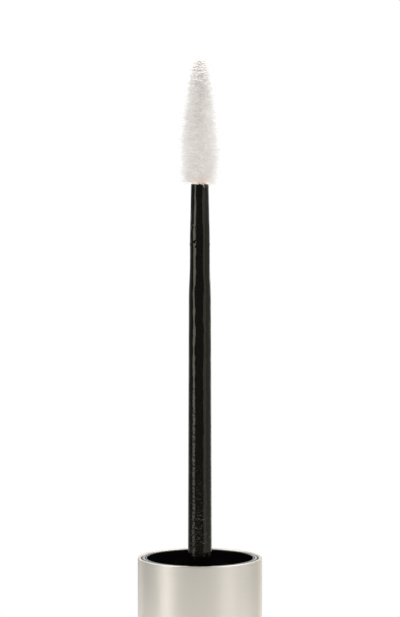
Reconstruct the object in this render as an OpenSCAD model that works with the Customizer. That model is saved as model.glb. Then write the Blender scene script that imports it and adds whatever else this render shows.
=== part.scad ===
// Mascara: a brush applicator standing on its cap, with its loose tube standing beside it.
// The origin is the centre of the cap's closed end, on the surface that both stand on.
// Z points up, along the cap and its wand. All sizes are in millimetres.

/* [Outer shells] */
// Outer diameter of the cap and of the tube
body_d = 19; // [18.8:0.1:20]
// Length of the cap, from its closed end to its rim
cap_l = 46; // [40:1:60]
// Length of the tube's shell, from its closed end to its rim
tube_l = 82; // [81:1:95]
// Wall of the drawn aluminium shells
skin = 0.5; // [0.45:0.05:0.55]

/* [Cap closure] */
// Width of the sleeve's lip at the mouth
lip_w = 0.42; // [0.4:0.01:0.45]
// Radius of the open mouth inside both lips
mouth_r = 8.15; // [8:0.05:8.2]
// Depth of the mouth, down to the threaded socket
mouth_depth = 4; // [3.9:0.1:5]
// Radius of the threaded socket's wall
socket_r = 6.85; // [6.8:0.05:6.95]
// Depth of the socket's floor below the rim
socket_depth = 16.5; // [16.5:0.5:18]

/* [Wand] */
// Height of the rod's tip above the rim
rod_h = 57.1; // [56:0.1:60]
// Radius of the rod where it passes the rim
rod_rim_r = 1.82; // [1.75:0.005:1.85]
// Radius of the rod where its shoulder starts
rod_shoulder_r = 1.69; // [1.6:0.005:1.7]
// Radius of the rod's slim waist above the shoulder
rod_waist_r = 1.52; // [1.45:0.005:1.55]
// Radius of the rod's tip
rod_tip_r = 1.36; // [1.3:0.005:1.4]
// Height of the brush's tip above the rim
brush_h = 76.6; // [76:0.1:79]
// Largest radius of the brush, near its foot
brush_r = 3.1; // [2.9:0.05:3.3]
// Radius of the brush just under its rounded tip
brush_tip_r = 1.2; // [1.1:0.05:1.4]
// Diameter over the twisted core wire
wire_d = 0.84; // [0.8:0.02:0.88]

/* [Tube] */
// How far the tube stands to the right of the cap, and how far behind it
tube_shift = 45; // [30:1:60]
// Radius of the neck between its threads
neck_r = 6.1; // [6.05:0.05:6.15]
// Height of the neck above the tube's rim
neck_h = 15; // [14.5:0.1:15.2]
// Radius of the wiper's orifice, which the rod passes through
orifice_r = 2.15; // [2:0.05:2.3]
// Depth of the mascara in the tube
fill_h = 47; // [10:1:60]

/* [Thread] */
// Rise of the thread in one turn
pitch = 3; // [2.8:0.1:3.2]
// How far the thread stands out from its wall
thread_h = 0.6; // [0.5:0.05:0.6]

/* [Hidden] */
$fn = 96;

body_r = body_d / 2;
end_t = 0.6;                        // thickness of a shell's closed end
end_round = 0.8;                    // radius round the edge of a closed end
fit = 0.02;                         // gap left between pressed-together pieces
liner_r = body_r - skin - fit;      // outer radius of whatever lines a shell
lip_drop = 0.06;                    // the lips sit this far under the metal rim
groove_w = 0.18;                    // dark groove between the metal rim and the lip
groove_depth = 0.9;
sleeve_inner_r = liner_r - groove_w - lip_w;
lip_gap = 0.1;                      // fine line between the two lips
lip_gap_depth = 1.2;

floor_z = cap_l - socket_depth;     // the socket's floor
floor_t = 2;
plug_r = 2.58;                      // the rod's root plug
plug_l = 6.6;
flange_r = 3.4;
flange_t = 0.9;
gasket_t = 0.75;
bead_h = 0.2;                       // snap bead on the rod's plug

shoulder_lo = 39.5;                 // heights above the rim where the rod steps in
shoulder_hi = 45.3;
waist_hi = 48.9;
wire_socket_depth = 7;

collar_r = mouth_r - 0.2;           // the tube's collar fits the cap's mouth
collar_h = mouth_depth - 0.2;
bottle_wall = 1.3;
bottle_floor_z = 2.6;
neck_bore_r = 5;
shoulder_t = 1.5;
wiper_flange_t = 0.7;
wiper_mouth_r = 4;

// Points of an arc, centred at c, from angle a0 to a1 in n steps.
function arc(c, r, a0, a1, n = 5) =
    [for (i = [0:n]) let (a = a0 + (a1 - a0) * i / n) c + r * [cos(a), sin(a)]];

// A helical ridge from r_root to r_crest, in triangles. Both its ends fade out.
// With r_crest under r_root the ridge points inwards, so its faces are turned round.
module ridge(r_root, r_crest, turns, root_w = 1.3, crest_w = 0.5) {
    n = 24 * turns;
    fade = 4;
    rings = [for (i = [0:n])
        let (k = max(0.1, min(1, i / fade, (n - i) / fade)),
             r = r_root + (r_crest - r_root) * k,
             w = root_w + (crest_w - root_w) * k,
             z = pitch * turns * i / n)
        [[r_root, z - root_w / 2], [r, z - w / 2], [r, z + w / 2], [r_root, z + root_w / 2]]];
    points = [for (i = [0:n], p = rings[i])
        [p[0] * cos(15 * i), p[0] * sin(15 * i), p[1]]];
    sides = [for (i = [0:n - 1], k = [0:3])
        let (a = 4 * i + k, b = 4 * i + (k + 1) % 4)
        each [[a, b, b + 4], [a, b + 4, a + 4]]];
    ends = [[0, 3, 2, 1], [4 * n, 4 * n + 1, 4 * n + 2, 4 * n + 3]];
    faces = concat(sides, ends);
    turned = [for (f = faces) [for (j = [len(f) - 1:-1:0]) f[j]]];
    polyhedron(points, r_crest > r_root ? faces : turned);
}

// A shell drawn from sheet: a closed end with a rounded edge, and a softened open rim.
module drawn_shell(length) {
    inner_r = body_r - skin;
    rim = 0.12;
    rotate_extrude() polygon(concat(
        [[0, 0]],
        arc([body_r - end_round, end_round], end_round, -90, 0),
        arc([body_r - rim, length - rim], rim, 0, 90, 3),
        arc([inner_r + rim, length - rim], rim, 90, 180, 3),
        [[inner_r, end_t + end_round], [inner_r - end_round, end_t], [0, end_t]]));
}

module cap_shell() {
    color("#cfc9be") drawn_shell(cap_l);
}

// The glossy black liner. Its lip is the outer of the two black rings at the mouth.
module cap_sleeve() {
    foot_z = end_t + fit;
    top_z = cap_l - lip_drop;
    lip_r = liner_r - groove_w;
    color("#141414") rotate_extrude() polygon([
        [0, foot_z], [liner_r - end_round, foot_z], [liner_r, foot_z + end_round],
        [liner_r, cap_l - groove_depth], [lip_r, cap_l - groove_depth + groove_w],
        [lip_r, top_z], [sleeve_inner_r, top_z],
        [sleeve_inner_r, foot_z + 1], [0, foot_z + 1]]);
}

// The threaded closure. Its lip is the inner black ring, and its boss grips the rod's plug.
module inner_cap() {
    skirt_r = sleeve_inner_r - fit;
    lip_r = sleeve_inner_r - lip_gap;
    top_z = cap_l - lip_drop;
    foot_z = floor_z - floor_t - 3.5;
    boss_z = floor_z - plug_l - 0.4;
    boss_r = 4.2;
    bore_r = plug_r + 0.03;
    color("#101010") {
        difference() {
            rotate_extrude() polygon([
                [bore_r, boss_z], [boss_r, boss_z], [boss_r, floor_z - floor_t],
                [skirt_r - 1, floor_z - floor_t], [skirt_r - 1, foot_z], [skirt_r, foot_z],
                [skirt_r, cap_l - lip_gap_depth], [lip_r, cap_l - lip_gap_depth],
                [lip_r, top_z], [mouth_r, top_z], [mouth_r, cap_l - mouth_depth],
                [socket_r, cap_l - mouth_depth - 0.8], [socket_r, floor_z], [bore_r, floor_z]]);
            translate([0, 0, floor_z - plug_l + 1.4]) cylinder(r = plug_r + bead_h + 0.05, h = 1);
        }
        translate([0, 0, cap_l - 11.5]) ridge(socket_r + 0.3, socket_r - thread_h, 1.25);
    }
}

module neck_gasket() {
    color("#d8d8d4") translate([0, 0, floor_z]) difference() {
        cylinder(r = socket_r - 0.35, h = gasket_t);
        translate([0, 0, -1]) cylinder(r = flange_r + 0.1, h = gasket_t + 2);
    }
}

// The rod: a plug and flange at its root, a long slow taper, a shoulder, a waist and a tip
// that is bored to hold the core wire.
module wand_rod() {
    root_z = floor_z - plug_l;
    bead_z = root_z + 1.6;
    steps = 8;
    shoulder = [for (i = [0:steps])
        let (k = i / steps, blend = (1 - cos(180 * k)) / 2)
        [rod_shoulder_r + (rod_waist_r - rod_shoulder_r) * blend,
         cap_l + shoulder_lo + (shoulder_hi - shoulder_lo) * k]];
    color("#181614") difference() {
        rotate_extrude() polygon(concat(
            [[0, root_z], [plug_r - 0.3, root_z], [plug_r, root_z + 0.5],
             [plug_r, bead_z], [plug_r + bead_h, bead_z + 0.3], [plug_r, bead_z + 0.6],
             [plug_r, floor_z], [flange_r, floor_z], [flange_r, floor_z + flange_t - 0.3],
             [flange_r - 0.3, floor_z + flange_t], [rod_rim_r + 0.5, floor_z + flange_t],
             [rod_rim_r, floor_z + flange_t + 0.8], [rod_rim_r, cap_l]],
            shoulder,
            [[rod_waist_r, cap_l + waist_hi]],
            arc([rod_tip_r - 0.15, cap_l + rod_h - 0.15], 0.15, 0, 90, 3),
            [[0, cap_l + rod_h]]));
        translate([0, 0, cap_l + rod_h - wire_socket_depth])
            cylinder(d = wire_d + 0.06, h = wire_socket_depth + 1);
    }
}

module core_wire() {
    color("#b9b4ac") translate([0, 0, cap_l + rod_h - wire_socket_depth + 0.2])
        cylinder(d = wire_d, h = brush_h - rod_h + wire_socket_depth - 0.8);
}

// The space that the bristles fill: full at the foot, slim along the upper half, round at the tip.
module bristles() {
    foot_z = cap_l + rod_h + 0.3;
    tip_z = cap_l + brush_h;
    length = tip_z - foot_z;
    round_r = brush_tip_r - 0.1;
    inner_r = wire_d / 2 + fit;
    color("#e4e0da") difference() {
        rotate_extrude() polygon(concat(
            [[0, foot_z], [brush_r - 0.2, foot_z], [brush_r, foot_z + 0.6],
             [brush_r - 0.1, foot_z + 0.25 * length], [0.6 * brush_r + 0.6, foot_z + 0.5 * length],
             [brush_tip_r + 0.6, foot_z + 0.72 * length], [brush_tip_r + 0.2, foot_z + 0.86 * length]],
            arc([brush_tip_r - round_r, tip_z - round_r], round_r, 0, 90),
            [[0, tip_z]]));
        translate([0, 0, foot_z - 1]) cylinder(r = inner_r, h = length + 0.7);
    }
}

module at_tube() {
    translate([tube_shift, tube_shift, 0]) children();
}

module tube_shell() {
    color("#cfc9be") at_tube() drawn_shell(tube_l);
}

// The blow-moulded bottle: body, shoulder, collar and threaded neck in one piece.
module bottle() {
    foot_z = end_t + fit;
    shoulder_z = tube_l - lip_drop;
    inner_r = liner_r - bottle_wall;
    lip_r = liner_r - groove_w;
    top_z = tube_l + neck_h;
    color("#141414") at_tube() {
        rotate_extrude() polygon([
            [0, foot_z], [liner_r - end_round, foot_z], [liner_r, foot_z + end_round],
            [liner_r, tube_l - groove_depth], [lip_r, tube_l - groove_depth + groove_w],
            [lip_r, shoulder_z], [collar_r, shoulder_z],
            [collar_r, shoulder_z + collar_h - 0.3], [collar_r - 0.3, shoulder_z + collar_h],
            [neck_r, shoulder_z + collar_h], [neck_r, top_z - 0.3], [neck_r - 0.3, top_z],
            [neck_bore_r, top_z], [neck_bore_r, shoulder_z - shoulder_t],
            [inner_r, shoulder_z - shoulder_t - 1.5], [inner_r, bottle_floor_z + 1],
            [inner_r - 1, bottle_floor_z], [0, bottle_floor_z]]);
        translate([0, 0, tube_l + 7]) ridge(neck_r - 0.3, neck_r + thread_h, 1.5);
    }
}

// The soft wiper in the neck: its flange rests on the neck, its cone narrows to the orifice.
module wiper() {
    neck_top = tube_l + neck_h;
    body_outer_r = neck_bore_r - fit;
    cone_z = neck_top - 7;
    tip_z = neck_top - 12;
    lip_l = 1.5;
    wall = 0.85;
    color("#3a3a3a") at_tube() rotate_extrude() polygon([
        [orifice_r, tip_z], [orifice_r + wall, tip_z], [orifice_r + wall, tip_z + lip_l],
        [body_outer_r, cone_z], [body_outer_r, neck_top], [neck_r - 0.4, neck_top],
        [neck_r - 0.4, neck_top + wiper_flange_t], [wiper_mouth_r, neck_top + wiper_flange_t],
        [wiper_mouth_r, cone_z], [orifice_r, tip_z + lip_l]]);
}

module mascara_fill() {
    fill_r = liner_r - bottle_wall - fit;
    color("#0b0a0a") at_tube() rotate_extrude() polygon([
        [0, bottle_floor_z + fit], [fill_r - 1, bottle_floor_z + fit],
        [fill_r, bottle_floor_z + 1 + fit], [fill_r, bottle_floor_z + fill_h],
        [0, bottle_floor_z + fill_h]]);
}

cap_shell();
cap_sleeve();
inner_cap();
neck_gasket();
wand_rod();
core_wire();
bristles();
tube_shell();
bottle();
wiper();
mascara_fill();
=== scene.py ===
# %% [markdown]
# # A mascara wand and its tube
# A mascara is two things that screw together: a cap that carries a wand, and a tube that carries the
# mascara. Here the cap stands on its closed end with the wand pointing up, and the tube stands beside it.
# The engineering model is loaded first, as a frame that isn't changed. Every piece made below takes its
# place and its main sizes from that frame, so nothing has to be fitted afterwards.

# %% Load the frame
from math import cos, hypot, pi, radians, sin, tan

import bpy
import numpy as np
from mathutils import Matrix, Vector


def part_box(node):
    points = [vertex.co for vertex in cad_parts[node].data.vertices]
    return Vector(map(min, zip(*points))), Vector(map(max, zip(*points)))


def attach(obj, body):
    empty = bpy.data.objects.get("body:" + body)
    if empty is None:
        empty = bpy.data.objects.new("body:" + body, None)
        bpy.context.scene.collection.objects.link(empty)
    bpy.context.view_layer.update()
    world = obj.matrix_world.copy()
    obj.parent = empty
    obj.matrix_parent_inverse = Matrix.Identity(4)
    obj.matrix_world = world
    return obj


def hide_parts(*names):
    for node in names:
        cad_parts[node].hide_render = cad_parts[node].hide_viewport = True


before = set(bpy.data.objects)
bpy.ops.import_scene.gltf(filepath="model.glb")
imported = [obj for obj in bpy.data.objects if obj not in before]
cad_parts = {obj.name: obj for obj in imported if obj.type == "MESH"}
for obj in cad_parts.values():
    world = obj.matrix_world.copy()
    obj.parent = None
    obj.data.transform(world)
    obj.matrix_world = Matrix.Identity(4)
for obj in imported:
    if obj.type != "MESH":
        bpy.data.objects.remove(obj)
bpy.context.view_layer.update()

print("CAD nodes:", ", ".join(sorted(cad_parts)))

# %% [markdown]
# ## Measures
# Blender works in metres, and a mascara is small, so sizes are named in millimetres and multiplied by MM.
# A node's box gives its lowest and highest corner: the cap's height, the rim, the brush's foot and tip,
# and the middle of the tube all come from boxes.

# %% Measures from the frame
MM = 0.001

cap_low, cap_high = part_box("cap_shell")
tube_low, tube_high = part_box("tube_shell")
rod_low, rod_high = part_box("wand_rod")
neck_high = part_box("bottle")[1]
brush_low, brush_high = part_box("bristles")
wire_low, wire_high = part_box("core_wire")
fill_low, fill_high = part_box("mascara_fill")

CAP_AT = (0.0, 0.0)
TUBE_AT = ((tube_low.x + tube_high.x) / 2, (tube_low.y + tube_high.y) / 2)
BODY_R = (cap_high.x - cap_low.x) / 2 / MM
RIM = cap_high.z / MM
TUBE_RIM = tube_high.z / MM
print(f"body {2 * BODY_R:.1f} mm across, cap rim at {RIM:.1f} mm, tube rim at {TUBE_RIM:.1f} mm")

# %% [markdown]
# ## Turned pieces
# Nearly every piece here is round, because caps, bottles and rods are drawn, moulded or turned about an
# axis. A cylinder with its rings scaled would do for the simplest, but a closed outline that is spun once
# makes walls, lips, grooves and floors together. The outline is drawn as by hand: one point is extruded
# from corner to corner, and the Spin operator carries it round. Real edges are never quite sharp, so a
# Bevel modifier softens the corners, and that thin line of light along a rim is what makes it look real.

# %% A helper that selects, and one that turns an outline
def select_only(piece):
    bpy.ops.object.select_all(action="DESELECT")
    piece.select_set(True)
    bpy.context.view_layer.objects.active = piece


def soften(piece, edge, segments=3, over=30):
    """Rounds the edges sharper than over degrees, by edge millimetres, and shades the rest smooth."""
    select_only(piece)
    rounding = piece.modifiers.new("Softened edges", "BEVEL")
    rounding.width = edge * MM
    rounding.segments = segments
    rounding.limit_method = "ANGLE"
    rounding.angle_limit = radians(over)
    bpy.ops.object.modifier_apply(modifier=rounding.name)
    bpy.ops.object.shade_smooth_by_angle(angle=radians(over))


def held(outline, gap=0.25):
    """Adds a point near both ends of each long side, so that shading bends only beside the corners."""
    points = [outline[0]]
    for (r0, z0), (r1, z1) in zip(outline, outline[1:]):
        side = hypot(r1 - r0, z1 - z0)
        if side > 4 * gap:
            points += [(r0 + (r1 - r0) * k, z0 + (z1 - z0) * k) for k in (gap / side, 1 - gap / side)]
        points.append((r1, z1))
    return points


def turned(name, outline, at=CAP_AT, steps=128, edge=0.05):
    """Spins a closed outline of (radius, height) points, in millimetres, about the upright axis at."""
    outline = held(outline)
    bpy.ops.object.select_all(action="DESELECT")
    radius, height = outline[0]
    bpy.ops.mesh.primitive_plane_add(size=MM, location=(at[0] + radius * MM, at[1], height * MM))
    piece = bpy.context.object
    piece.name = name
    bpy.ops.object.transform_apply(location=True, rotation=True, scale=True)
    bpy.ops.object.mode_set(mode="EDIT")
    bpy.ops.mesh.select_all(action="SELECT")
    bpy.ops.mesh.merge(type="CENTER")
    for (r0, z0), (r1, z1) in zip(outline, outline[1:]):
        step = ((r1 - r0) * MM, 0, (z1 - z0) * MM)
        bpy.ops.mesh.extrude_region_move(TRANSFORM_OT_translate={"value": step})
    bpy.ops.mesh.select_all(action="SELECT")
    bpy.ops.mesh.spin(steps=steps, angle=2 * pi, center=(*at, 0), axis=(0, 0, 1))
    bpy.ops.mesh.select_all(action="SELECT")
    bpy.ops.mesh.remove_doubles(threshold=0.002 * MM)
    bpy.ops.mesh.normals_make_consistent(inside=False)
    bpy.ops.object.mode_set(mode="OBJECT")
    if edge:
        soften(piece, edge)
    return piece


def place(piece, material, slot, body, *nodes):
    """Gives a finished piece its material and its body, and hides the CAD nodes that it stands for."""
    piece.data.materials.clear()
    piece.data.materials.append(material)
    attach(piece, body)
    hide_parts(*nodes)
    piece.data.calc_loop_triangles()
    print(f"{piece.name}: {len(piece.data.loop_triangles)} triangles, rides on {body}")


# %% [markdown]
# ## Materials: the tools
# A material starts from what the real one is. Colours are written as the sRGB hex values that a swatch
# shows, and one function turns them to the linear values that a shader needs. Patterns read Object
# coordinates, in metres, so a Mapping node that multiplies by 1 / size makes one cell of noise that
# size in millimetres.

# %% Colour, pattern size and node helpers
def linear(hex_code):
    """An sRGB hex colour as linear red, green, blue and alpha."""
    parts = [int(hex_code[i:i + 2], 16) / 255 for i in (1, 3, 5)]
    return (*[c / 12.92 if c <= 0.04045 else ((c + 0.055) / 1.055) ** 2.4 for c in parts], 1.0)


def add(tree, kind, settings=None, **inputs):
    """Adds a shader node. Inputs are values or other nodes' sockets, named with _ for a space."""
    node = tree.nodes.new("ShaderNode" + kind)
    for name, value in (settings or {}).items():
        setattr(node, name, value)
    for name, value in inputs.items():
        socket = node.inputs[name.replace("_", " ")]
        if isinstance(value, bpy.types.NodeSocket):
            tree.links.new(value, socket)
        else:
            socket.default_value = value
    return node


def new_material(name, **sockets):
    """A material with its Principled shader's own sockets set, its tree and its Object coordinates."""
    material = bpy.data.materials.new(name)
    material.use_nodes = True
    tree = material.node_tree
    shader = tree.nodes["Principled BSDF"]
    for socket, value in sockets.items():
        shader.inputs[socket.replace("_", " ")].default_value = value
    where = add(tree, "TexCoord").outputs["Object"]
    return material, tree, shader, where


def grain(tree, where, across, along, detail=2.0, roughness=0.5):
    """Noise with cells across wide and along high, in millimetres."""
    size = (1 / (across * MM), 1 / (across * MM), 1 / (along * MM))
    scaled = add(tree, "Mapping", Vector=where, Scale=size).outputs["Vector"]
    return add(tree, "TexNoise", Vector=scaled, Scale=1.0, Detail=detail, Roughness=roughness)


def remap(tree, value, low, high, to_low, to_high):
    """Maps value from low..high to to_low..to_high, with a smooth start and end."""
    node = add(tree, "MapRange", {"interpolation_type": "SMOOTHSTEP"}, Value=value,
               From_Min=low, From_Max=high, To_Min=to_low, To_Max=to_high)
    return node.outputs["Result"]


def combine(tree, operation, first, second):
    """A Math node that works on two sockets."""
    node = add(tree, "Math", {"operation": operation})
    tree.links.new(first, node.inputs[0])
    tree.links.new(second, node.inputs[1])
    return node.outputs["Value"]


def ramp(tree, value, *stops):
    """A colour ramp of (position, hex colour) stops."""
    node = add(tree, "ValToRGB", Fac=value)
    band = node.color_ramp
    while len(band.elements) < len(stops):
        band.elements.new(0.5)
    for element, (position, hex_code) in zip(band.elements, stops):
        element.position = position
        element.color = linear(hex_code)
    return node.outputs["Color"]


# %% [markdown]
# ## Anodised aluminium
# The cap's skin is drawn from thin sheet, brushed round and round against a belt, and anodised in a warm
# silver. The film keeps a satin gloss: broad soft bands instead of mirror images. The brushing runs
# round the body, so it is noise squeezed flat along the height. Real brush lines are about 0.03 mm
# apart, too fine to show, so they are drawn at 0.12 mm. Anisotropy, turned a quarter from a tangent that
# runs round the axis, stretches each highlight up and down, as the real lines do.

# %% Satin anodised aluminium
def anodised_aluminium():
    material, tree, shader, where = new_material(
        "anodised_aluminium", Metallic=1.0, Roughness=0.42, Anisotropic=0.5,
        Anisotropic_Rotation=0.25)
    lines = grain(tree, where, 9, 0.12, detail=3).outputs["Fac"]
    cloud = grain(tree, where, 6, 9, detail=2).outputs["Fac"]
    tree.links.new(ramp(tree, lines, (0.3, "#e2dcd2"), (0.7, "#e4ded4")), shader.inputs["Base Color"])
    tree.links.new(remap(tree, cloud, 0.3, 0.7, 0.39, 0.45), shader.inputs["Roughness"])
    bump = add(tree, "Bump", Height=lines, Strength=0.05, Distance=0.002 * MM)
    tree.links.new(bump.outputs["Normal"], shader.inputs["Normal"])
    round_axis = add(tree, "Tangent", {"direction_type": "RADIAL", "axis": "Z"})
    tree.links.new(round_axis.outputs["Tangent"], shader.inputs["Tangent"])
    return material


SATIN = anodised_aluminium()

# %% [markdown]
# ## Moulded black polypropylene
# Sleeve, closure and bottle are injection- or blow-moulded polypropylene from a polished tool. It is
# near-black with a hard gloss and the faintest orange peel, from the plastic shrinking as it cools. A
# little dust and rubbing shows as patches that are slightly less shiny.

# %% Black polypropylene
def black_polypropylene():
    material, tree, shader, where = new_material("black_polypropylene", IOR=1.49, Roughness=0.1)
    peel = grain(tree, where, 1.3, 1.3, detail=1).outputs["Fac"]
    rubbed = grain(tree, where, 5, 7, detail=4).outputs["Fac"]
    tree.links.new(ramp(tree, rubbed, (0.35, "#0b0b0b"), (0.7, "#121212")), shader.inputs["Base Color"])
    tree.links.new(remap(tree, rubbed, 0.35, 0.7, 0.07, 0.16), shader.inputs["Roughness"])
    bump = add(tree, "Bump", Height=peel, Strength=0.5, Distance=0.006 * MM)
    tree.links.new(bump.outputs["Normal"], shader.inputs["Normal"])
    return material


BLACK = black_polypropylene()

# %% [markdown]
# ## The rod's black acetal
# The rod has lived in mascara. Its upper part is as glossy as if it were wet, and the skin of dried
# product waves the highlights. Towards the cap the film is drier: the waves calm down, fine specks break
# the highlight up, and the black turns a little brown. Both are bump, and the height decides how much.
# Iron oxide makes the film denser to light than the plastic, so the index of refraction is 1.8, and it
# warms what the film mirrors.

# %% Rod acetal with a film of product
def rod_acetal():
    material, tree, shader, where = new_material("rod_acetal", IOR=1.8, Roughness=0.1,
                                              Specular_Tint=linear("#fffbe6"))
    height = add(tree, "SeparateXYZ", Vector=where).outputs["Z"]
    dry = remap(tree, height, (RIM + 8) * MM, (RIM + 42) * MM, 1.0, 0.0)
    wave = grain(tree, where, 1.1, 3.0, detail=1.5).outputs["Fac"]
    specks = grain(tree, where, 0.6, 0.4, detail=2, roughness=0.6).outputs["Fac"]
    tree.links.new(ramp(tree, dry, (0.0, "#060605"), (1.0, "#080705")), shader.inputs["Base Color"])
    tree.links.new(remap(tree, dry, 0.0, 1.0, 0.06, 0.1), shader.inputs["Roughness"])
    calm = remap(tree, dry, 0.0, 1.0, 1.0, 0.35)
    waved = add(tree, "Bump", Height=wave, Strength=calm, Distance=0.12 * MM)
    strength = remap(tree, dry, 0.0, 1.0, 0.05, 1.0)
    specked = add(tree, "Bump", Height=specks, Strength=strength, Distance=0.04 * MM,
                  Normal=waved.outputs["Normal"])
    tree.links.new(specked.outputs["Normal"], shader.inputs["Normal"])
    return material


ACETAL = rod_acetal()

# %% [markdown]
# ## Nylon fibre
# The bristles are drawn nylon filament, undyed, so they are a translucent ivory. Light that enters one
# comes out of its neighbours, so the brush is nearly as bright deep inside as at its outside. Tracing
# that through thousands of fibres would be slow, so painted light stands in for it, in two ways. The colour
# is painted: palest at the core, as painted light, and greyer towards the fibre ends and the crown, as
# painted shade. And the core has a very faint glow of its own, a painted light though the fibres are no
# lamp. Where the wire enters the rod, the foot is tinted a faint tan.

# %% Undyed nylon
# Strength of a painted glow in the fibres, which are no lamp.
CORE_GLOW = 0.09


def nylon_fibre():
    material, tree, shader, where = new_material(
        "nylon_fibre", IOR=1.53, Roughness=0.55, Emission_Strength=CORE_GLOW)
    shader.inputs["Specular IOR Level"].default_value = 0.2
    parts = add(tree, "SeparateXYZ", Vector=where).outputs
    flat = add(tree, "CombineXYZ", X=parts["X"], Y=parts["Y"]).outputs["Vector"]
    length = add(tree, "VectorMath", {"operation": "LENGTH"})
    tree.links.new(flat, length.inputs[0])
    out = length.outputs["Value"]
    # Painted light and shade: the colour is paler at the core and greyer towards the fibre ends and the
    # crown.
    wide = remap(tree, out, 0.4 * MM, 2.8 * MM, 0.0, 1.0)
    high = remap(tree, parts["Z"], brush_high.z - 15 * MM, brush_high.z, 0.0, 0.6)
    painted_light_falloff = combine(tree, "ADD", wide, high)
    ivory = ramp(tree, painted_light_falloff, (0.0, "#fdfbf8"), (0.4, "#f1eeeb"), (1.0, "#d0cecc"))
    # Painted light: a faint glow, brightest at the core and dim at the fibre ends, though the fibres are no
    # lamp.
    glow = ramp(tree, painted_light_falloff, (0.0, "#fffaf3"), (0.35, "#e6e1dc"), (1.0, "#4e4b4a"))
    tree.links.new(glow, shader.inputs["Emission Color"])
    # The colour is tinted a faint tan at the foot, near the rod.
    low = remap(tree, parts["Z"], brush_low.z, brush_low.z + 1.3 * MM, 1.0, 0.0)
    near = remap(tree, out, 0.9 * MM, 2.2 * MM, 1.0, 0.0)
    foot = combine(tree, "MULTIPLY", low, near)
    tan_tinted = add(tree, "MixRGB", {"blend_type": "MULTIPLY"}, Fac=foot, Color1=ivory,
                  Color2=linear("#f3e8dc"))
    tree.links.new(tan_tinted.outputs["Color"], shader.inputs["Base Color"])
    return material


NYLON = nylon_fibre()

# %% [markdown]
# ## Four small finishes
# Drawn steel wire is grey with long scratches. The sealing ring is foamed polyethylene, white and
# matt with fine cells. The wiper is soft nitrile rubber, black and dull. The mascara is a wax paste: dark,
# wet, and never level.

# %% Steel, foam, rubber and paste
def drawn_steel():
    material, tree, shader, where = new_material("drawn_steel", Metallic=1.0, Roughness=0.45)
    scratches = grain(tree, where, 0.08, 1.5, detail=3).outputs["Fac"]
    tree.links.new(ramp(tree, scratches, (0.3, "#cfcac2"), (0.7, "#e6e2db")), shader.inputs["Base Color"])
    return material


def foamed_polyethylene():
    material, tree, shader, where = new_material("foamed_polyethylene", IOR=1.5, Roughness=0.75)
    cells = grain(tree, where, 0.25, 0.25, detail=2).outputs["Fac"]
    tree.links.new(ramp(tree, cells, (0.3, "#cfcfc9"), (0.7, "#e6e6e1")), shader.inputs["Base Color"])
    bump = add(tree, "Bump", Height=cells, Strength=0.6, Distance=0.03 * MM)
    tree.links.new(bump.outputs["Normal"], shader.inputs["Normal"])
    return material


def nitrile_rubber():
    material, tree, shader, where = new_material("nitrile_rubber", IOR=1.52, Roughness=0.55)
    mottle = grain(tree, where, 0.5, 0.5, detail=3).outputs["Fac"]
    tree.links.new(ramp(tree, mottle, (0.3, "#1c1c1d"), (0.7, "#2a2a2b")), shader.inputs["Base Color"])
    bump = add(tree, "Bump", Height=mottle, Strength=0.4, Distance=0.01 * MM)
    tree.links.new(bump.outputs["Normal"], shader.inputs["Normal"])
    return material


def mascara_paste():
    material, tree, shader, where = new_material("mascara_paste", IOR=1.45, Roughness=0.18)
    folds = grain(tree, where, 2.2, 2.2, detail=3).outputs["Fac"]
    tree.links.new(ramp(tree, folds, (0.3, "#050404"), (0.7, "#0f0c0b")), shader.inputs["Base Color"])
    bump = add(tree, "Bump", Height=folds, Strength=0.7, Distance=0.2 * MM)
    tree.links.new(bump.outputs["Normal"], shader.inputs["Normal"])
    return material


STEEL, FOAM, RUBBER, PASTE = drawn_steel(), foamed_polyethylene(), nitrile_rubber(), mascara_paste()
print("materials:", ", ".join(sorted(m.name for m in bpy.data.materials)))

# %% [markdown]
# ## The two aluminium skins
# Cap and tube wear the same drawn skin: a deep cup, half a millimetre thick, with a rounded closed end
# and a rim that is cut and deburred. One function draws both outlines, and only the length and place
# differ.

# %% Cap skin and tube skin
SKIN = 0.5
END = 0.6
END_ROUND = 0.8


def quarter(centre, radius, start, steps=6):
    """A quarter circle of outline points from the angle start, anticlockwise."""
    angles = [radians(start + 90 * i / steps) for i in range(steps + 1)]
    return [(centre[0] + radius * cos(a), centre[1] + radius * sin(a)) for a in angles]


def drawn_skin(name, rim, at):
    inside = BODY_R - SKIN
    outline = [(0, 0), *quarter((BODY_R - END_ROUND, END_ROUND), END_ROUND, -90),
               (BODY_R, rim / 2), (BODY_R, rim), (inside, rim), (inside, END + END_ROUND),
               (inside - END_ROUND, END), (0, END)]
    return turned(name, outline, at, steps=160, edge=0.13)


place(drawn_skin("cap_skin", RIM, CAP_AT), SATIN, "satin_aluminium", "applicator", "cap_shell")
place(drawn_skin("tube_skin", TUBE_RIM, TUBE_AT), SATIN, "satin_aluminium", "tube", "tube_shell")

# %% [markdown]
# ## The black sleeve and its lip
# A moulded sleeve lines the skin. Its lip stands just inside the metal rim, a hair lower, with a
# narrow groove between them that stays dark. The lip is flat and glossy, so it mirrors whatever is
# behind it and shows as a pale ring from low down.

# %% Sleeve
FIT = 0.02
LINER_R = BODY_R - SKIN - FIT
LIP_DROP = 0.06
GROOVE = 0.18
GROOVE_DEPTH = 0.9
LIP_W = 0.42
SLEEVE_IN = LINER_R - GROOVE - LIP_W
LIP_TOP = RIM - LIP_DROP
SLEEVE_FOOT = END + FIT

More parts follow.
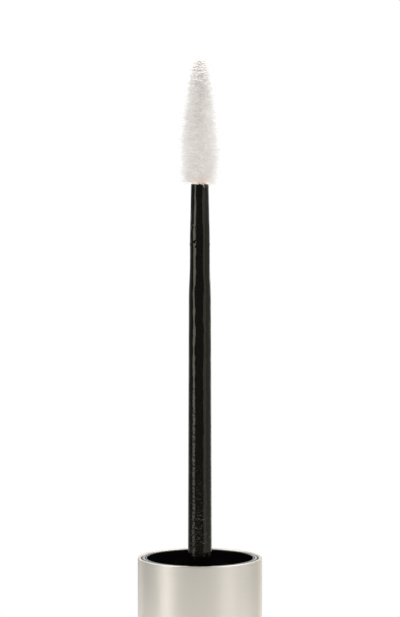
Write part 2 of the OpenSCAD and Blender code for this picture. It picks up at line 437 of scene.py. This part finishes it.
sleeve = turned("cap_liner", [
    (0, SLEEVE_FOOT), (LINER_R - END_ROUND, SLEEVE_FOOT), (LINER_R, SLEEVE_FOOT + END_ROUND),
    (LINER_R, RIM - GROOVE_DEPTH), (LINER_R - GROOVE, RIM - GROOVE_DEPTH + GROOVE),
    (LINER_R - GROOVE, LIP_TOP), (SLEEVE_IN, LIP_TOP), (SLEEVE_IN, SLEEVE_FOOT + 1),
    (0, SLEEVE_FOOT + 1)], edge=0.03)
place(sleeve, BLACK, "black_polypropylene", "applicator", "cap_sleeve")

# %% [markdown]
# ## Screw threads
# The neck has a helical ridge, and the socket in the cap has one that points inwards. The Screw modifier
# carries a small outline round and up at the same time, which is just what a thread is. Both ends of a
# moulded thread fade into the wall, so the last few steps are scaled back towards the axis.

# %% A thread ridge
PITCH = 3.0
THREAD_STEPS = 48


def thread(name, root_r, crest_r, start, turns, at, root_w=1.3, crest_w=0.5):
    """A ridge from root_r to crest_r, in millimetres, that climbs one pitch in a turn."""
    outline = [(root_r, -root_w / 2), (crest_r, -crest_w / 2), (crest_r, crest_w / 2), (root_r, root_w / 2)]
    bpy.ops.object.select_all(action="DESELECT")
    bpy.ops.mesh.primitive_plane_add(size=1, location=(0, 0, 0))
    ridge = bpy.context.object
    ridge.name = name
    corners = (outline[0], outline[1], outline[3], outline[2])
    for vertex, (radius, height) in zip(ridge.data.vertices, corners):
        vertex.co = (radius * MM, 0, height * MM)
    screw = ridge.modifiers.new("Screw", "SCREW")
    screw.angle = 2 * pi * turns
    screw.screw_offset = PITCH * turns * MM
    screw.steps = screw.render_steps = int(THREAD_STEPS * turns)
    screw.use_merge_vertices = False
    bpy.ops.object.modifier_apply(modifier=screw.name)
    middle = start + PITCH * turns / 2
    for vertex in ridge.data.vertices:
        x, y, z = vertex.co
        radius = (x * x + y * y) ** 0.5 / MM
        climbed = z / MM / (PITCH * turns)
        fade = min(1.0, 12 * max(0.02, min(climbed, 1 - climbed) + 0.06))
        wanted = root_r + (radius - root_r) * fade
        vertex.co = (x * wanted / radius, y * wanted / radius, z)
    ridge.location = (*at, start * MM)
    bpy.ops.object.transform_apply(location=True, rotation=True, scale=True)
    bpy.ops.object.mode_set(mode="EDIT")
    bpy.ops.mesh.select_all(action="SELECT")
    bpy.ops.mesh.normals_make_consistent(inside=False)
    bpy.ops.object.mode_set(mode="OBJECT")
    soften(ridge, 0.12, segments=2, over=35)
    print(f"{name}: {turns} turns about a middle height of {middle:.1f} mm")
    return ridge


def joined(piece, *others):
    """Joins other meshes into piece and returns it."""
    bpy.ops.object.select_all(action="DESELECT")
    for part in (piece, *others):
        part.select_set(True)
    bpy.context.view_layer.objects.active = piece
    bpy.ops.object.join()
    return piece


# %% [markdown]
# ## The closure in the cap
# The closure is the moulding that does the work: its mouth takes the bottle's collar, its socket has
# the thread, and a boss under the floor grips the rod. Its lip is the inner of the two black rings.

# %% Closure
MOUTH_R = 8.15
MOUTH_DEPTH = 4.0
SOCKET_R = 6.85
SOCKET_DEPTH = 16.5
THREAD_H = 0.6
LIP_GAP = 0.1
FLOOR = RIM - SOCKET_DEPTH
FLOOR_T = 2.0
PLUG_R = 2.58
PLUG_L = 6.6
BOSS_R = 4.2
skirt_r = SLEEVE_IN - FIT
lip_r = SLEEVE_IN - LIP_GAP
bore_r = PLUG_R + 0.03
boss_foot = FLOOR - PLUG_L - 0.4
skirt_foot = FLOOR - FLOOR_T - 3.5

closure = turned("cap_closure", [
    (bore_r, boss_foot), (BOSS_R, boss_foot), (BOSS_R, FLOOR - FLOOR_T), (skirt_r - 1, FLOOR - FLOOR_T),
    (skirt_r - 1, skirt_foot), (skirt_r, skirt_foot), (skirt_r, RIM - 1.2), (lip_r, RIM - 1.2),
    (lip_r, LIP_TOP), (MOUTH_R, LIP_TOP), (MOUTH_R, RIM - MOUTH_DEPTH),
    (SOCKET_R, RIM - MOUTH_DEPTH - 0.8), (SOCKET_R, FLOOR), (bore_r, FLOOR), (bore_r, boss_foot)],
    edge=0.04)
socket_thread = thread("socket_thread", SOCKET_R + 0.3, SOCKET_R - THREAD_H, RIM - 11.5, 1.25, CAP_AT)
place(joined(closure, socket_thread), BLACK, "black_polypropylene", "applicator", "inner_cap")

# %% [markdown]
# ## The sealing ring
# A washer of foam lies on the socket's floor round the rod's flange. The neck presses a shallow groove
# into it each time that the cap is screwed down, so its top isn't flat.

# %% Sealing ring
FLANGE_R = 3.4
seal = turned("sealing_ring", [
    (FLANGE_R + 0.1, FLOOR), (SOCKET_R - 0.35, FLOOR), (SOCKET_R - 0.35, FLOOR + 0.75),
    (SOCKET_R - 0.7, FLOOR + 0.75), (SOCKET_R - 1.0, FLOOR + 0.65), (SOCKET_R - 1.6, FLOOR + 0.65),
    (SOCKET_R - 1.9, FLOOR + 0.75), (FLANGE_R + 0.1, FLOOR + 0.75), (FLANGE_R + 0.1, FLOOR)], edge=0.06)
place(seal, FOAM, "gasket_foam", "applicator", "neck_gasket")

# %% [markdown]
# ## The rod
# The rod is moulded in one: a plug with a snap bead that sits in the closure's boss, a flange, and a
# shaft that loses a quarter of a millimetre from the rim to the shoulder. Above it is a slimmer waist
# with a fine witness ring, where the two halves of the tool meet, and then the tip, bored for the wire.
# A drop of product has dried just above the ring: a squashed sphere, half sunk in the waist.

# %% Rod
TIP = rod_high.z / MM
PLUG_FOOT = rod_low.z / MM
BEAD = PLUG_FOOT + 1.6
ROD_RIM_R, ROD_SHOULDER_R, ROD_WAIST_R, ROD_TIP_R = 1.82, 1.69, 1.52, 1.36
SHOULDER_LOW, SHOULDER_HIGH = RIM + 39.5, RIM + 45.3
RING = RIM + 47.9
WAIST_HIGH = RIM + 48.9
TAPER_R, TAPER_HIGH = 1.43, RIM + 52.5
WIRE_BORE = 7
FLANGE_T = 0.9
WIRE_R = (wire_high.x - wire_low.x) / 2 / MM


def shoulder(steps=12):
    """The step in from the shaft to the waist, as half a cosine wave."""
    points = []
    for i in range(steps + 1):
        blend = (1 - cos(pi * i / steps)) / 2
        points.append((ROD_SHOULDER_R + (ROD_WAIST_R - ROD_SHOULDER_R) * blend,
                       SHOULDER_LOW + (SHOULDER_HIGH - SHOULDER_LOW) * i / steps))
    return points


rod = turned("wand", [
    (0, PLUG_FOOT), (PLUG_R - 0.3, PLUG_FOOT), (PLUG_R, PLUG_FOOT + 0.5), (PLUG_R, BEAD),
    (PLUG_R + 0.2, BEAD + 0.3), (PLUG_R, BEAD + 0.6), (PLUG_R, FLOOR), (FLANGE_R, FLOOR),
    (FLANGE_R, FLOOR + FLANGE_T), (ROD_RIM_R + 0.5, FLOOR + FLANGE_T), (ROD_RIM_R, FLOOR + FLANGE_T + 0.8),
    (ROD_RIM_R, RIM), *shoulder(),
    (ROD_WAIST_R, RING - 0.35), (ROD_WAIST_R + 0.035, RING - 0.12), (ROD_WAIST_R + 0.035, RING + 0.12),
    (ROD_WAIST_R, RING + 0.35), (ROD_WAIST_R, WAIST_HIGH), (TAPER_R, TAPER_HIGH), (ROD_TIP_R, TIP - 0.8),
    (ROD_TIP_R, TIP), (WIRE_R + 0.03, TIP), (WIRE_R + 0.03, TIP - WIRE_BORE), (0, TIP - WIRE_BORE)],
    edge=0.07)


def dried_drop(angle, height, wide, tall, proud):
    """A flat drop on the waist. The angle goes round from the front, and left of it is negative."""
    thick = 2 * proud
    out = ROD_WAIST_R + proud - thick
    bpy.ops.mesh.primitive_uv_sphere_add(segments=24, ring_count=16, radius=MM)
    drop = bpy.context.object
    drop.scale = (wide / 2, thick, tall / 2)
    drop.rotation_euler = (0, 0, radians(angle))
    drop.location = (out * sin(radians(angle)) * MM, -out * cos(radians(angle)) * MM, height * MM)
    bpy.ops.object.transform_apply(location=True, rotation=True, scale=True)
    bpy.ops.object.shade_smooth()
    return drop


drop = dried_drop(-40, RIM + 49.4, 1.3, 3.2, 0.08)
place(joined(rod, drop), ACETAL, "rod_plastic", "applicator", "wand_rod")

# %% [markdown]
# ## The twisted core
# A brush like this starts as a hairpin of soft steel wire. The fibres are laid between its legs, and
# the legs are twisted until they bite. Each leg is a small circle that the Screw modifier carries up a
# helix, and the second is the same a half turn on.

# %% Twisted wire
TWIST = 1.7
STRAND_R = WIRE_R / 2


def strand(name, start_angle):
    """One leg of the wire, wound about the axis."""
    length = (wire_high.z - wire_low.z) / MM - 2 * STRAND_R
    bpy.ops.object.select_all(action="DESELECT")
    bpy.ops.mesh.primitive_circle_add(vertices=12, radius=STRAND_R * MM, fill_type="NGON",
                                      location=(STRAND_R * MM, 0, 0), rotation=(pi / 2, 0, 0))
    leg = bpy.context.object
    leg.name = name
    bpy.ops.object.transform_apply(location=True, rotation=True, scale=True)
    screw = leg.modifiers.new("Twist", "SCREW")
    screw.angle = 2 * pi * length / TWIST
    screw.screw_offset = length * MM
    screw.steps = screw.render_steps = int(20 * length / TWIST)
    screw.use_merge_vertices = False
    bpy.ops.object.modifier_apply(modifier=screw.name)
    leg.rotation_euler = (0, 0, start_angle)
    leg.location = (0, 0, wire_low.z + STRAND_R * MM)
    bpy.ops.object.transform_apply(location=True, rotation=True, scale=True)
    bpy.ops.object.mode_set(mode="EDIT")
    bpy.ops.mesh.select_all(action="SELECT")
    bpy.ops.mesh.normals_make_consistent(inside=False)
    bpy.ops.object.mode_set(mode="OBJECT")
    bpy.ops.object.shade_smooth_by_angle(angle=radians(50))
    return leg


core = joined(strand("twisted_core", 0), strand("second_leg", pi))
place(core, STEEL, "core_steel", "applicator", "core_wire")

# %% [markdown]
# ## The bristles
# The fibres are what the eye goes to, so each is a real one. One fibre is modelled: a three-sided
# circle, extruded up in two lengths and drawn in at the tip. It is then copied along the core. A
# fibre lies between the two wires and shows on both sides, so copies come in pairs, half a turn apart, and
# the pairs follow the twist. They splay out of line by a few tens of degrees, which nearly hides the
# rows. Their length follows the brush's outline: full at the foot, drawing in to a slim upper half.

# %% One fibre
FIBRE_R = 0.03
FIBRE_HEIGHTS = (0.55, 0.45)


def one_fibre():
    """A fibre one unit long, with its thickness in millimetres."""
    bpy.ops.object.select_all(action="DESELECT")
    bpy.ops.mesh.primitive_circle_add(vertices=3, radius=FIBRE_R, fill_type="NGON", location=(0, 0, 0))
    bpy.ops.object.mode_set(mode="EDIT")
    bpy.ops.mesh.select_all(action="SELECT")
    for rise in FIBRE_HEIGHTS:
        bpy.ops.mesh.extrude_region_move(TRANSFORM_OT_translate={"value": (0, 0, rise)})
    bpy.ops.transform.resize(value=(0.35, 0.35, 1))
    bpy.ops.mesh.select_all(action="SELECT")
    bpy.ops.mesh.normals_make_consistent(inside=False)
    bpy.ops.object.mode_set(mode="OBJECT")
    fibre = bpy.context.object
    points = np.array([v.co for v in fibre.data.vertices])
    faces = [tuple(p.vertices) for p in fibre.data.polygons]
    bpy.data.objects.remove(fibre)
    return points, faces


fibre_points, fibre_faces = one_fibre()
print(f"one fibre: {len(fibre_points)} points, {len(fibre_faces)} faces")

# %% The outline of the brush
FOOT_R, BRUSH_TIP_R = 3.2, 1.3
FOOT = brush_low.z / MM - 0.1
BRUSH_TIP = brush_high.z / MM - 0.1


def brush_radius(share):
    """How far fibres reach at a share of the brush's length, from 0 at its foot to 1 at its tip."""
    narrowing = np.clip((share - 0.19) / 0.76, 0, 1) ** 1.6
    reach = FOOT_R + (BRUSH_TIP_R - FOOT_R) * narrowing
    crown = np.clip((share - 0.93) / 0.07, 0, 1)
    return reach * np.sqrt(1 - 0.8 * crown ** 2)


print("reach at foot, middle and tip:", [round(float(brush_radius(s)), 2) for s in (0.0, 0.5, 0.95)])

# %% Copies of the fibre along the core
FIBRE_PAIRS = 5800
SPLAY = radians(50)
CROWDING = 1.08
ROOT_SPREAD = 0.36
draw = np.random.default_rng(11)


def lay_fibres(name):
    """Builds all fibres as one mesh. Directions, lengths and bends are drawn from a fixed seed.

    They crowd a little towards the tip, droop at the front of the foot, and rise into the crown."""
    share = np.repeat((np.arange(FIBRE_PAIRS) + draw.uniform(0, 1, FIBRE_PAIRS)) / FIBRE_PAIRS, 2)
    share = 1 - (1 - share) ** CROWDING
    count = len(share)
    height = FOOT + share * (BRUSH_TIP - 0.6 - FOOT)
    side = np.tile([0.0, pi], FIBRE_PAIRS)
    splay = np.repeat(draw.normal(0, SPLAY, FIBRE_PAIRS), 2) + draw.normal(0, 0.12, count)
    turn = 2 * pi * height / TWIST + splay + side
    length = brush_radius(share) * draw.triangular(0.5, 0.95, 1.16, count)
    droop = np.clip(1 - share / 0.06, 0, 1) * radians(13) * np.clip(np.cos(turn), 0, 1) ** 4
    rise = np.clip((share - 0.9) / 0.1, 0, 1) ** 2 * radians(48)
    tilt = draw.normal(0, radians(4), count) - droop + rise
    bend = draw.normal(0, 0.07, (count, 3)) * length[:, None]
    along = np.stack([np.cos(turn) * np.cos(tilt), np.sin(turn) * np.cos(tilt), np.sin(tilt)], 1)
    across = np.stack([-np.sin(turn), np.cos(turn), np.zeros(count)], 1)
    over = np.cross(along, across)
    root = np.stack([np.zeros(count), np.zeros(count), height], 1)
    root += across * draw.normal(0, ROOT_SPREAD, count)[:, None]
    x, y, up = fibre_points.T
    points = (root[:, None] + along[:, None] * (length[:, None] * up)[..., None]
              + across[:, None] * x[:, None] + over[:, None] * y[:, None]
              + bend[:, None] * (up ** 2)[:, None])
    faces = [[i + j * len(x) for i in face] for j in range(count) for face in fibre_faces]
    mesh = bpy.data.meshes.new(name)
    mesh.from_pydata((points.reshape(-1, 3) * MM).tolist(), [], faces)
    piece = bpy.data.objects.new(name, mesh)
    bpy.context.scene.collection.objects.link(piece)
    select_only(piece)
    bpy.ops.object.mode_set(mode="EDIT")
    bpy.ops.mesh.select_all(action="SELECT")
    bpy.ops.mesh.normals_make_consistent(inside=False)
    bpy.ops.object.mode_set(mode="OBJECT")
    bpy.ops.object.shade_smooth_by_angle(angle=radians(80))
    print(f"{name}: {count} fibres, from {FOOT:.1f} to {BRUSH_TIP:.1f} mm")
    return piece


place(lay_fibres("brush_fibres"), NYLON, "nylon_fibre", "applicator", "bristles")

# %% [markdown]
# ## The bottle
# The bottle hides in its skin up to the shoulder. What shows is the collar that fits the cap's mouth,
# and the neck with its thread. It is one blow-moulded piece, so the outline has the inside as well.

# %% Bottle
COLLAR_R = MOUTH_R - 0.2
COLLAR_H = MOUTH_DEPTH - 0.2
NECK_R = 6.1
NECK_BORE = 5.0
NECK_TOP = neck_high.z / MM
SHOULDER_Z = TUBE_RIM - LIP_DROP
INSIDE_R = LINER_R - 1.3
BOTTLE_FLOOR = 2.6

bottle = turned("tube_bottle", [
    (0, SLEEVE_FOOT), (LINER_R - END_ROUND, SLEEVE_FOOT), (LINER_R, SLEEVE_FOOT + END_ROUND),
    (LINER_R, TUBE_RIM - GROOVE_DEPTH), (LINER_R - GROOVE, TUBE_RIM - GROOVE_DEPTH + GROOVE),
    (LINER_R - GROOVE, SHOULDER_Z), (COLLAR_R, SHOULDER_Z), (COLLAR_R, SHOULDER_Z + COLLAR_H - 0.25),
    (COLLAR_R - 0.25, SHOULDER_Z + COLLAR_H), (NECK_R, SHOULDER_Z + COLLAR_H), (NECK_R, NECK_TOP - 0.25),
    (NECK_R - 0.25, NECK_TOP), (NECK_BORE, NECK_TOP), (NECK_BORE, SHOULDER_Z - 1.5),
    (INSIDE_R, SHOULDER_Z - 3), (INSIDE_R, BOTTLE_FLOOR + 1), (INSIDE_R - 1, BOTTLE_FLOOR),
    (0, BOTTLE_FLOOR)], TUBE_AT, edge=0.08)
neck_thread = thread("neck_thread", NECK_R - 0.3, NECK_R + THREAD_H, TUBE_RIM + 7, 1.5, TUBE_AT)
place(joined(bottle, neck_thread), BLACK, "black_polypropylene", "tube", "bottle")

# %% [markdown]
# ## The wiper
# The wiper is a soft cone in the neck. Each time that the wand is drawn out, its orifice scrapes the
# rod clean and leaves the right load on the brush. Its flange rests on the neck and its rim is rounded.

# %% Wiper
ORIFICE_R = 2.15
WIPER_MOUTH_R = 4.0
cone_top = NECK_TOP - 7
cone_tip = NECK_TOP - 12
wiper = turned("neck_wiper", [
    (ORIFICE_R, cone_tip), (ORIFICE_R + 0.85, cone_tip), (ORIFICE_R + 0.85, cone_tip + 1.5),
    (NECK_BORE - FIT, cone_top), (NECK_BORE - FIT, NECK_TOP), (NECK_R - 0.4, NECK_TOP),
    (NECK_R - 0.4, NECK_TOP + 0.7), (WIPER_MOUTH_R, NECK_TOP + 0.7), (WIPER_MOUTH_R, cone_top),
    (ORIFICE_R, cone_tip + 1.5), (ORIFICE_R, cone_tip)], TUBE_AT, steps=96, edge=0.15)
place(wiper, RUBBER, "wiper_rubber", "tube", "wiper")

# %% [markdown]
# ## The mascara
# The paste stands in the bottle. It clings higher at the wall than in the middle, where the brush was
# last drawn out, so its top is a shallow dish with a raised middle.

# %% Paste
PASTE_R = (fill_high.x - fill_low.x) / 2 / MM
PASTE_FOOT = fill_low.z / MM
PASTE_TOP = fill_high.z / MM
paste = turned("mascara_paste_fill", [
    (0, PASTE_FOOT), (PASTE_R - 1, PASTE_FOOT), (PASTE_R, PASTE_FOOT + 1), (PASTE_R, PASTE_TOP),
    (PASTE_R - 0.6, PASTE_TOP - 0.5), (PASTE_R - 2.5, PASTE_TOP - 1.2), (2.2, PASTE_TOP - 1.0),
    (0.9, PASTE_TOP - 0.4), (0, PASTE_TOP - 0.2)], TUBE_AT, steps=64, edge=0.3)
place(paste, PASTE, "mascara_paste", "tube", "mascara_fill")

# %% [markdown]
# ## The floor
# The floor is a pale round board, no wider than it has to be: the rod would mirror a wide white floor
# all along its front, and its black would turn grey. A little light of its own keeps it as pale as the
# background, and the pieces still ground themselves with soft shadows.

# %% Floor
FLOOR_R = 0.19


def pale_board():
    material, tree, shader, where = new_material("pale_board", Roughness=0.7, Emission_Strength=0.45)
    shader.inputs["Emission Color"].default_value = (1, 1, 1, 1)
    tooth = grain(tree, where, 2, 2, detail=3).outputs["Fac"]
    tree.links.new(ramp(tree, tooth, (0.3, "#f2f2f1"), (0.7, "#f6f6f5")), shader.inputs["Base Color"])
    return material


bpy.ops.object.select_all(action="DESELECT")
bpy.ops.mesh.primitive_circle_add(vertices=128, radius=FLOOR_R, fill_type="NGON", location=(0, 0, 0))
floor = bpy.context.object
floor.name = "floor_board"
floor.data.materials.append(pale_board())
print(f"floor board {2 * FLOOR_R:.2f} m across")

# %% [markdown]
# ## Studio light
# A black rod shows only what it mirrors, so the light is built for it. A narrow, strong soft box on the
# left draws the thin bright line. A wider, weaker one on the right draws the broad grey band, and a
# dim panel beyond it carries the grey to the edge. The front stays dark. Panels that hang higher are out
# of the rod's mirror, but satin metal spreads light up and down, so they light most of the cap: one in
# front, one to each side of it, one on each flank and one overhead. The brush is matt and deep in its
# own shade, so four wide boxes light it alone. Light linking does what a flag does in a studio.

# %% Soft boxes
LIGHT_AIM = Vector((0, 0, 0.08))
LIGHT_FAR = 0.7


def soft_box(name, azimuth, spread, radiance, bottom=-0.5, top=0.9, only=None):
    """A tall panel that fills spread degrees about an azimuth. 0 is the camera's side, 90 the right.

    With only, it is screened off from everything except that one piece."""
    turn = radians(azimuth)
    width = 2 * LIGHT_FAR * tan(radians(spread / 2))
    light = bpy.data.lights.new(name, "AREA")
    light.shape = "RECTANGLE"
    light.size = width
    light.size_y = top - bottom
    light.energy = radiance * pi * width * (top - bottom)
    box = bpy.data.objects.new(name, light)
    box.location = (LIGHT_FAR * sin(turn), -LIGHT_FAR * cos(turn), (top + bottom) / 2)
    level = Vector((-sin(turn), cos(turn), 0))
    box.rotation_euler = level.to_track_quat("-Z", "Y").to_euler()
    box.visible_camera = False
    if only:
        receiver = bpy.data.collections.new(f"{name}_lights")
        receiver.objects.link(bpy.data.objects[only])
        box.light_linking.receiver_collection = receiver
    bpy.context.scene.collection.objects.link(box)
    print(f"{name}: {width:.2f} m wide, radiance {radiance}")


def high_panel(name, azimuth, elevation, radiance, size):
    """A square panel above the object, at an azimuth and an elevation, aimed down at it."""
    light = bpy.data.lights.new(name, "AREA")
    light.size = size
    light.energy = radiance * pi * size * size
    panel = bpy.data.objects.new(name, light)
    turn, rise = radians(azimuth), radians(elevation)
    towards = Vector((sin(turn) * cos(rise), -cos(turn) * cos(rise), sin(rise)))
    panel.location = LIGHT_AIM + LIGHT_FAR * towards
    panel.rotation_euler = (-towards).to_track_quat("-Z", "Y").to_euler()
    panel.visible_camera = False
    bpy.context.scene.collection.objects.link(panel)
    print(f"{name}: {size:.2f} m square, radiance {radiance}")


soft_box("key_left", -64, 26, 1.16, bottom=-0.04)
soft_box("fill_right", 52, 32, 0.32)
soft_box("side_right", 100, 62, 0.16)
soft_box("side_left", -118, 50, 0.03)
soft_box("rear_left", -146, 28, 0.45)
soft_box("rear_right", 146, 28, 1.20)
for azimuth, share in ((0, 1.0), (90, 0.3), (180, 0.5), (270, 0.3)):
    soft_box(f"wash_{azimuth}", azimuth, 84, share * 2.60, only="brush_fibres")
soft_box("backdrop", 180, 90, 0.66, bottom=0.12, top=0.7)
high_panel("front_panel", 0, 45, 0.33, 0.5)
high_panel("high_left", -62, 42, 1.20, 0.5)
high_panel("high_right", 62, 42, 1.90, 0.5)
high_panel("side_high_left", -112, 42, 1.90, 0.5)
high_panel("side_high_right", 112, 42, 2.40, 0.5)
high_panel("top_panel", 180, 85, 0.90, 0.9)

# %% [markdown]
# ## The surroundings
# The world lights the object faintly all round and more strongly from straight behind, where a white
# backdrop would stand. The camera itself sees plain white wherever there is no object.

# %% World
def surroundings():
    world = bpy.data.worlds.new("studio")
    world.use_nodes = True
    tree = world.node_tree
    direction = add(tree, "TexCoord").outputs["Generated"]
    behind = add(tree, "SeparateXYZ", Vector=direction).outputs["Y"]
    glow = remap(tree, behind, 0.93, 1.0, 0.065, 0.65)
    lit = tree.nodes["Background"]
    tree.links.new(glow, lit.inputs["Strength"])
    lit.inputs["Color"].default_value = (1, 1, 1, 1)
    seen = add(tree, "Background", Color=(1, 1, 1, 1), Strength=1.0)
    choose = add(tree, "MixShader", Fac=add(tree, "LightPath").outputs["Is Camera Ray"])
    tree.links.new(lit.outputs["Background"], choose.inputs[1])
    tree.links.new(seen.outputs["Background"], choose.inputs[2])
    tree.links.new(choose.outputs["Shader"], tree.nodes["World Output"].inputs["Surface"])
    bpy.context.scene.world = world


surroundings()
bpy.context.scene.view_settings.view_transform = "Standard"

# %% [markdown]
# ## The camera
# A long lens from half a metre, a little above the rim and tipped down by under five degrees: the rim
# shows as a thin ellipse, and the rod stays straight. The picture cuts the cap off below its middle.

# %% Camera
VIEW_FAR = 0.5016
VIEW_PITCH = radians(4.6)
FRAME_HEIGHT = 93.77 * MM
SENSOR = 36.0
view_at = Vector((0.02 * MM, 0, cap_high.z + 38.15 * MM))
view_from = view_at + VIEW_FAR * Vector((0, -cos(VIEW_PITCH), sin(VIEW_PITCH)))
lens = bpy.data.cameras.new("camera")
lens.sensor_width = SENSOR
lens.lens = SENSOR * VIEW_FAR / FRAME_HEIGHT
lens.dof.use_dof = False
camera = bpy.data.objects.new("camera", lens)
camera.location = view_from
camera.rotation_euler = (view_at - view_from).to_track_quat("-Z", "Y").to_euler()
bpy.context.scene.collection.objects.link(camera)
bpy.context.scene.camera = camera
print(f"camera {VIEW_FAR:.2f} m away with a {lens.lens:.0f} mm lens")
